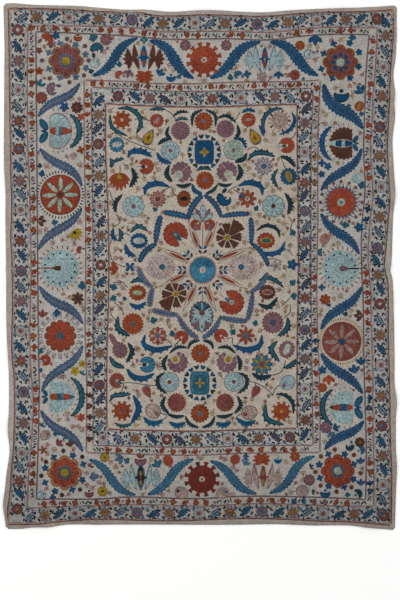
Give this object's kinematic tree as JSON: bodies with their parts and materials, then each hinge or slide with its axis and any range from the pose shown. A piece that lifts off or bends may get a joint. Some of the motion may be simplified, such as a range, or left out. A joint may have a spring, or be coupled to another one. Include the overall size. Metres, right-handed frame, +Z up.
{
  "type": "suzani embroidered textile",
  "caption": "Large flat embroidered cotton hanging with a star medallion field, flower guards and a wide flower and leaf border, lying flat with soft edge ripples and a middle crease.",
  "frame": {"origin": "under the middle of the cloth, on the surface that it lies on", "axes": "+Z up out of the embroidered face, +Y towards the cloth's top edge, +X to its right"},
  "size_m": [1.7308, 2.3164, 0.0098],
  "materials": {
    "embroidered_cotton": "hand-woven cotton with silk thread embroidery, aged"
  },
  "bodies": {
    "root": {"ground_cloth": "embroidered_cotton"}
  },
  "joints": []
}
